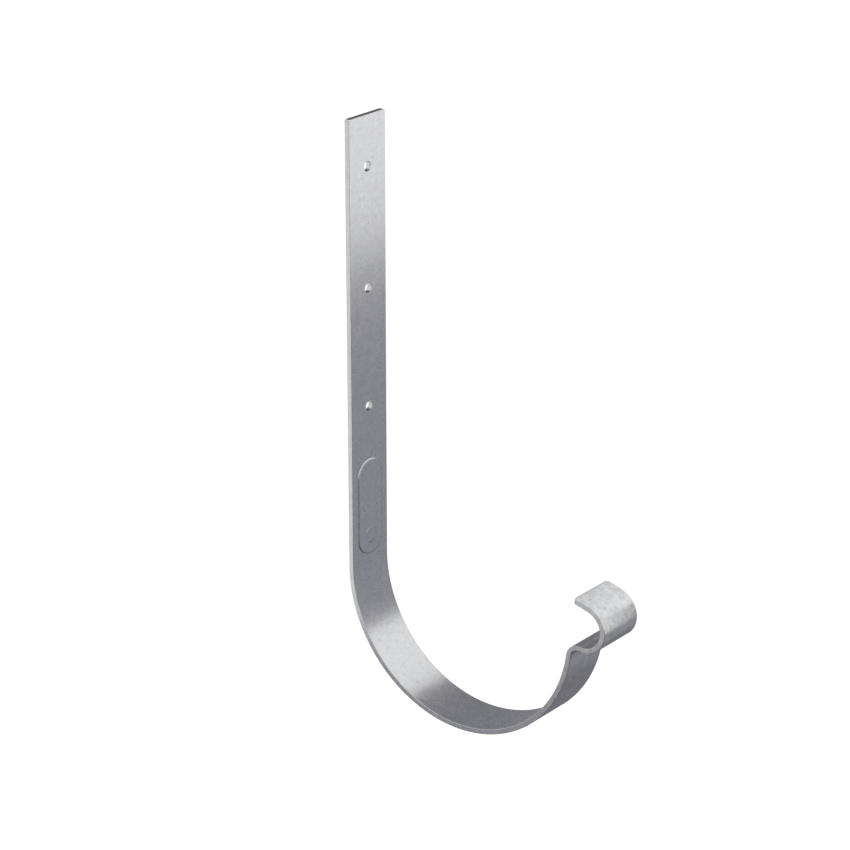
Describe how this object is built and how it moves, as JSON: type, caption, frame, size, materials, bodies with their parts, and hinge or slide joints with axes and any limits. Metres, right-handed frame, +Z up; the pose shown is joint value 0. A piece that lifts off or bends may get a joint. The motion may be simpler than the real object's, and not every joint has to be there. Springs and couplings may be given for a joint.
{
  "type": "half-round gutter bracket",
  "caption": "Galvanised strap bracket: tall flat shank with fixing holes, a half-round hook for the gutter and a rolled clip for its front bead.",
  "frame": {"origin": "centre of the middle fixing hole, on the back face of the shank", "axes": "+Z up the shank, +Y out of the back face towards the rafter or fascia, X across the strap; the hook reaches towards -Y"},
  "size_m": [0.03, 0.1749, 0.335],
  "materials": {
    "galvanised_steel": "satin galvanised, faintly mottled"
  },
  "bodies": {
    "root": {"bracket": "galvanised_steel"}
  },
  "joints": []
}
